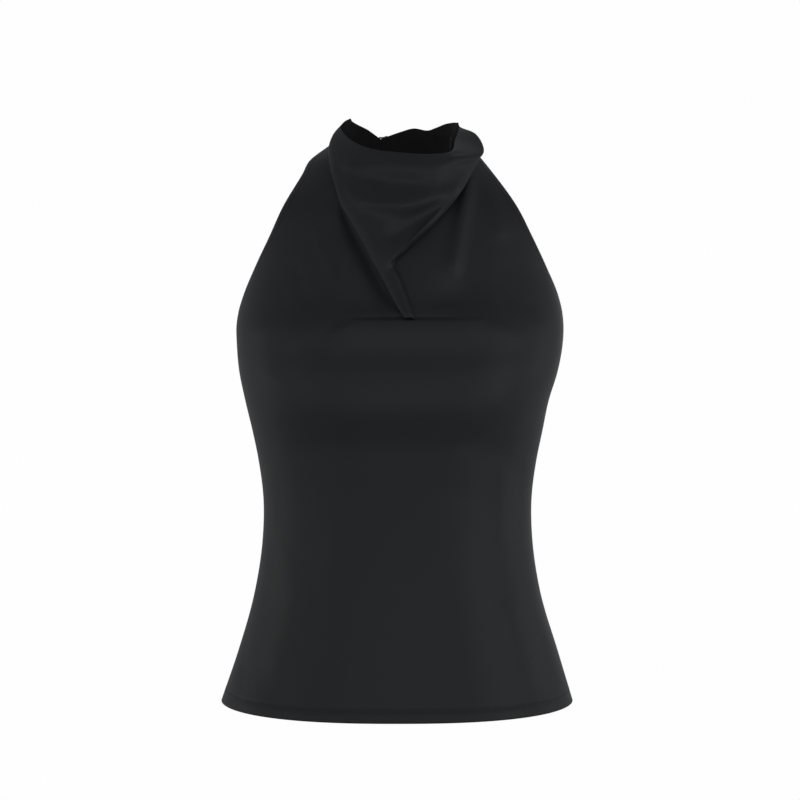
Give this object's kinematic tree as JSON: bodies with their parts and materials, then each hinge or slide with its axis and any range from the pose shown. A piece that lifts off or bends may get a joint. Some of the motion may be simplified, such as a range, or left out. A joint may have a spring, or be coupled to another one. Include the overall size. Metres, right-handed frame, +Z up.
{
  "type": "halter neck top",
  "caption": "Sleeveless halter neck top in dark satin with a cowl draped in a V, low open back and a buttoned neck band, filled out with no wearer.",
  "frame": {"origin": "middle of the neck opening, level with the top of the straps, where the neck holds the top", "axes": "+Z up from the hem towards the collar, -Y out of the front, +X to the right as seen from the front"},
  "size_m": [0.354, 0.2397, 0.5837],
  "materials": {
    "satin": "soft satin weave, faint sheen",
    "band_satin": "satin weave, matte reverse",
    "button_satin": "satin stretched over a button"
  },
  "bodies": {
    "root": {"front_panel": "satin", "back_panel": "satin", "cowl": "satin", "neck_band_right": "band_satin", "neck_band_left": "band_satin", "neck_button": "button_satin", "button_loop": "button_satin"}
  },
  "joints": []
}
